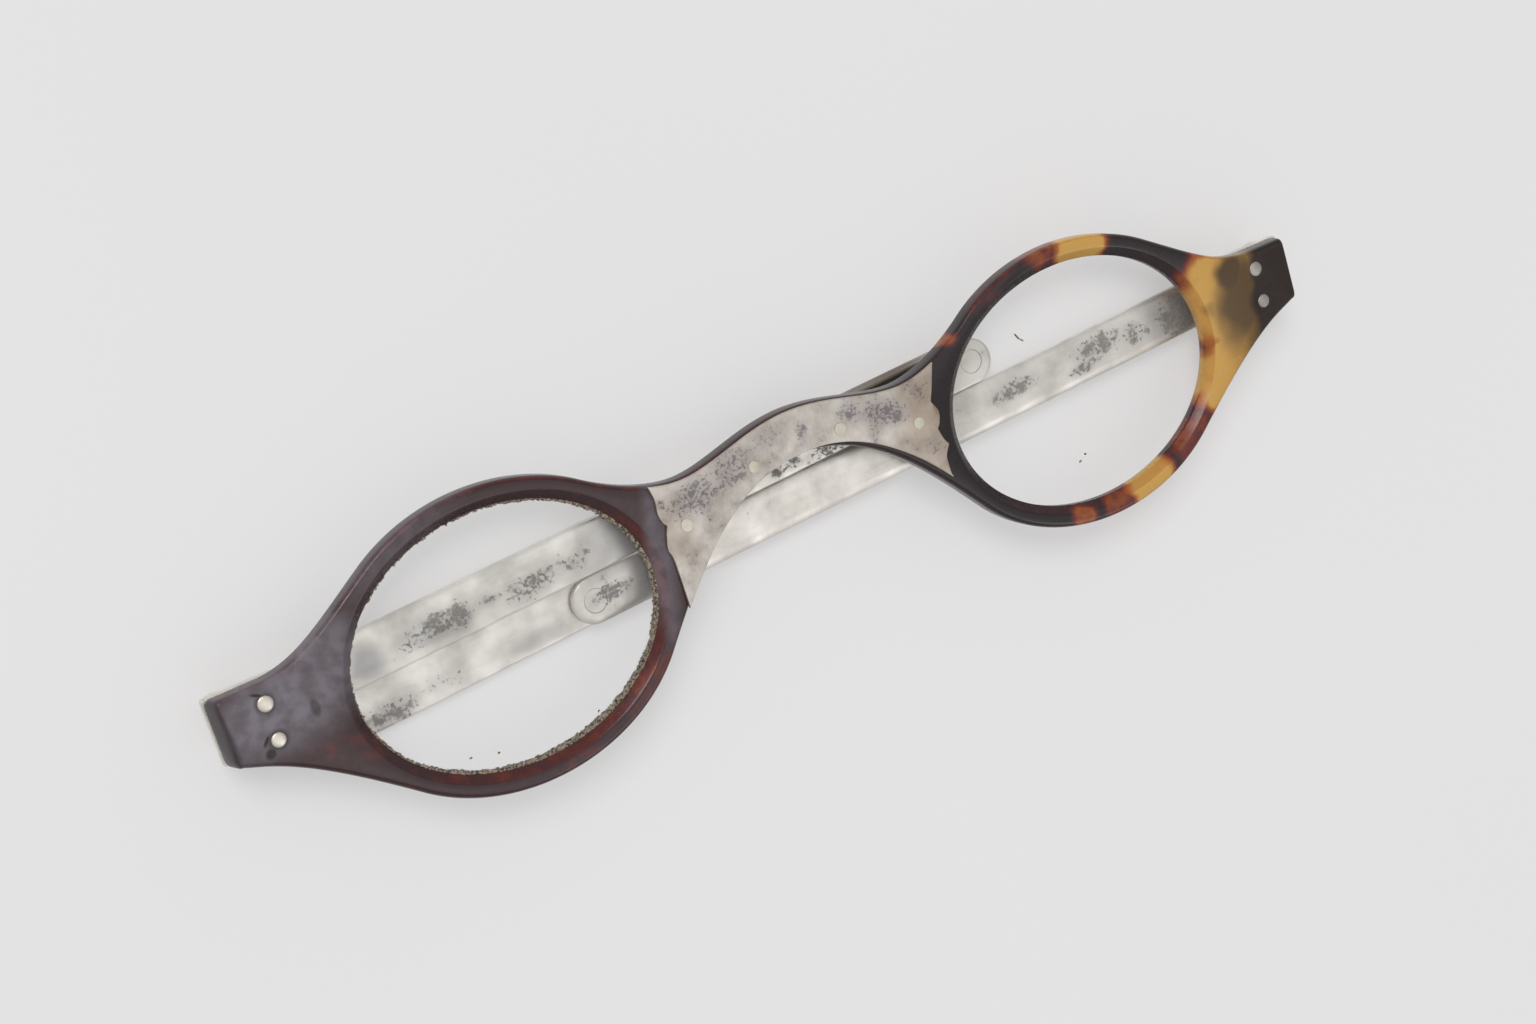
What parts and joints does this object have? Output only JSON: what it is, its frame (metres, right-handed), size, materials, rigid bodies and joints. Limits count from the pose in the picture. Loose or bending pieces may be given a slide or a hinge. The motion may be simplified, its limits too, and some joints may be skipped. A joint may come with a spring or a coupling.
{
  "type": "turn-pin spectacles",
  "caption": "Folding spectacles with a flat tortoiseshell front, oval lenses, a riveted silver bridge plate and hinged flat silver temples that end in turn-pin end pieces.",
  "frame": {"origin": "middle of the underside of the folded spectacles, as they lie face up on their temples", "axes": "+X along the front to the viewer's right, +Y towards the brow, +Z out of the front"},
  "size_m": [0.1144, 0.027, 0.0058],
  "materials": {
    "tortoiseshell": "polished, mottled",
    "lens_glass": "clear",
    "bridge_silver": "tarnished",
    "temple_silver": "worn and tarnished",
    "rivet_silver": "worn bright"
  },
  "bodies": {
    "front": {"front_frame": "tortoiseshell", "left_lens": "lens_glass", "right_lens": "lens_glass", "bridge_plate": "bridge_silver", "bridge_rivet_1": "rivet_silver", "bridge_rivet_2": "rivet_silver", "bridge_rivet_3": "rivet_silver", "bridge_rivet_4": "rivet_silver", "left_lug_rivet_upper": "rivet_silver", "left_lug_rivet_lower": "rivet_silver", "right_lug_rivet_upper": "rivet_silver", "right_lug_rivet_lower": "rivet_silver", "left_hinge_leaf": "temple_silver", "right_hinge_leaf": "temple_silver", "left_hinge_pin": "rivet_silver", "right_hinge_pin": "rivet_silver"},
    "left_temple": {"left_temple_fore": "temple_silver", "left_turn_pin": "rivet_silver"},
    "left_end": {"left_temple_end": "temple_silver"},
    "right_temple": {"right_temple_fore": "temple_silver", "right_turn_pin": "rivet_silver"},
    "right_end": {"right_temple_end": "temple_silver"}
  },
  "joints": [
    {"name": "left_temple_hinge", "type": "hinge", "parent": "front", "child": "left_temple", "pos_m": [-0.0557, 0.00213, 0.00141], "axis": [0, 1, 0], "range_deg": [0, 95]},
    {"name": "right_temple_hinge", "type": "hinge", "parent": "front", "child": "right_temple", "pos_m": [0.0557, 0.00213, 0.00141], "axis": [0, -1, 0], "range_deg": [0, 95]},
    {"name": "left_end_turn", "type": "hinge", "parent": "left_temple", "child": "left_end", "pos_m": [0.02143, 0.00532, 0.00096], "axis": [0, 0, -1], "range_deg": [0, 180]},
    {"name": "right_end_turn", "type": "hinge", "parent": "right_temple", "child": "right_end", "pos_m": [-0.02143, -0.00107, 0.00096], "axis": [0, 0, 1], "range_deg": [0, 180]}
  ]
}
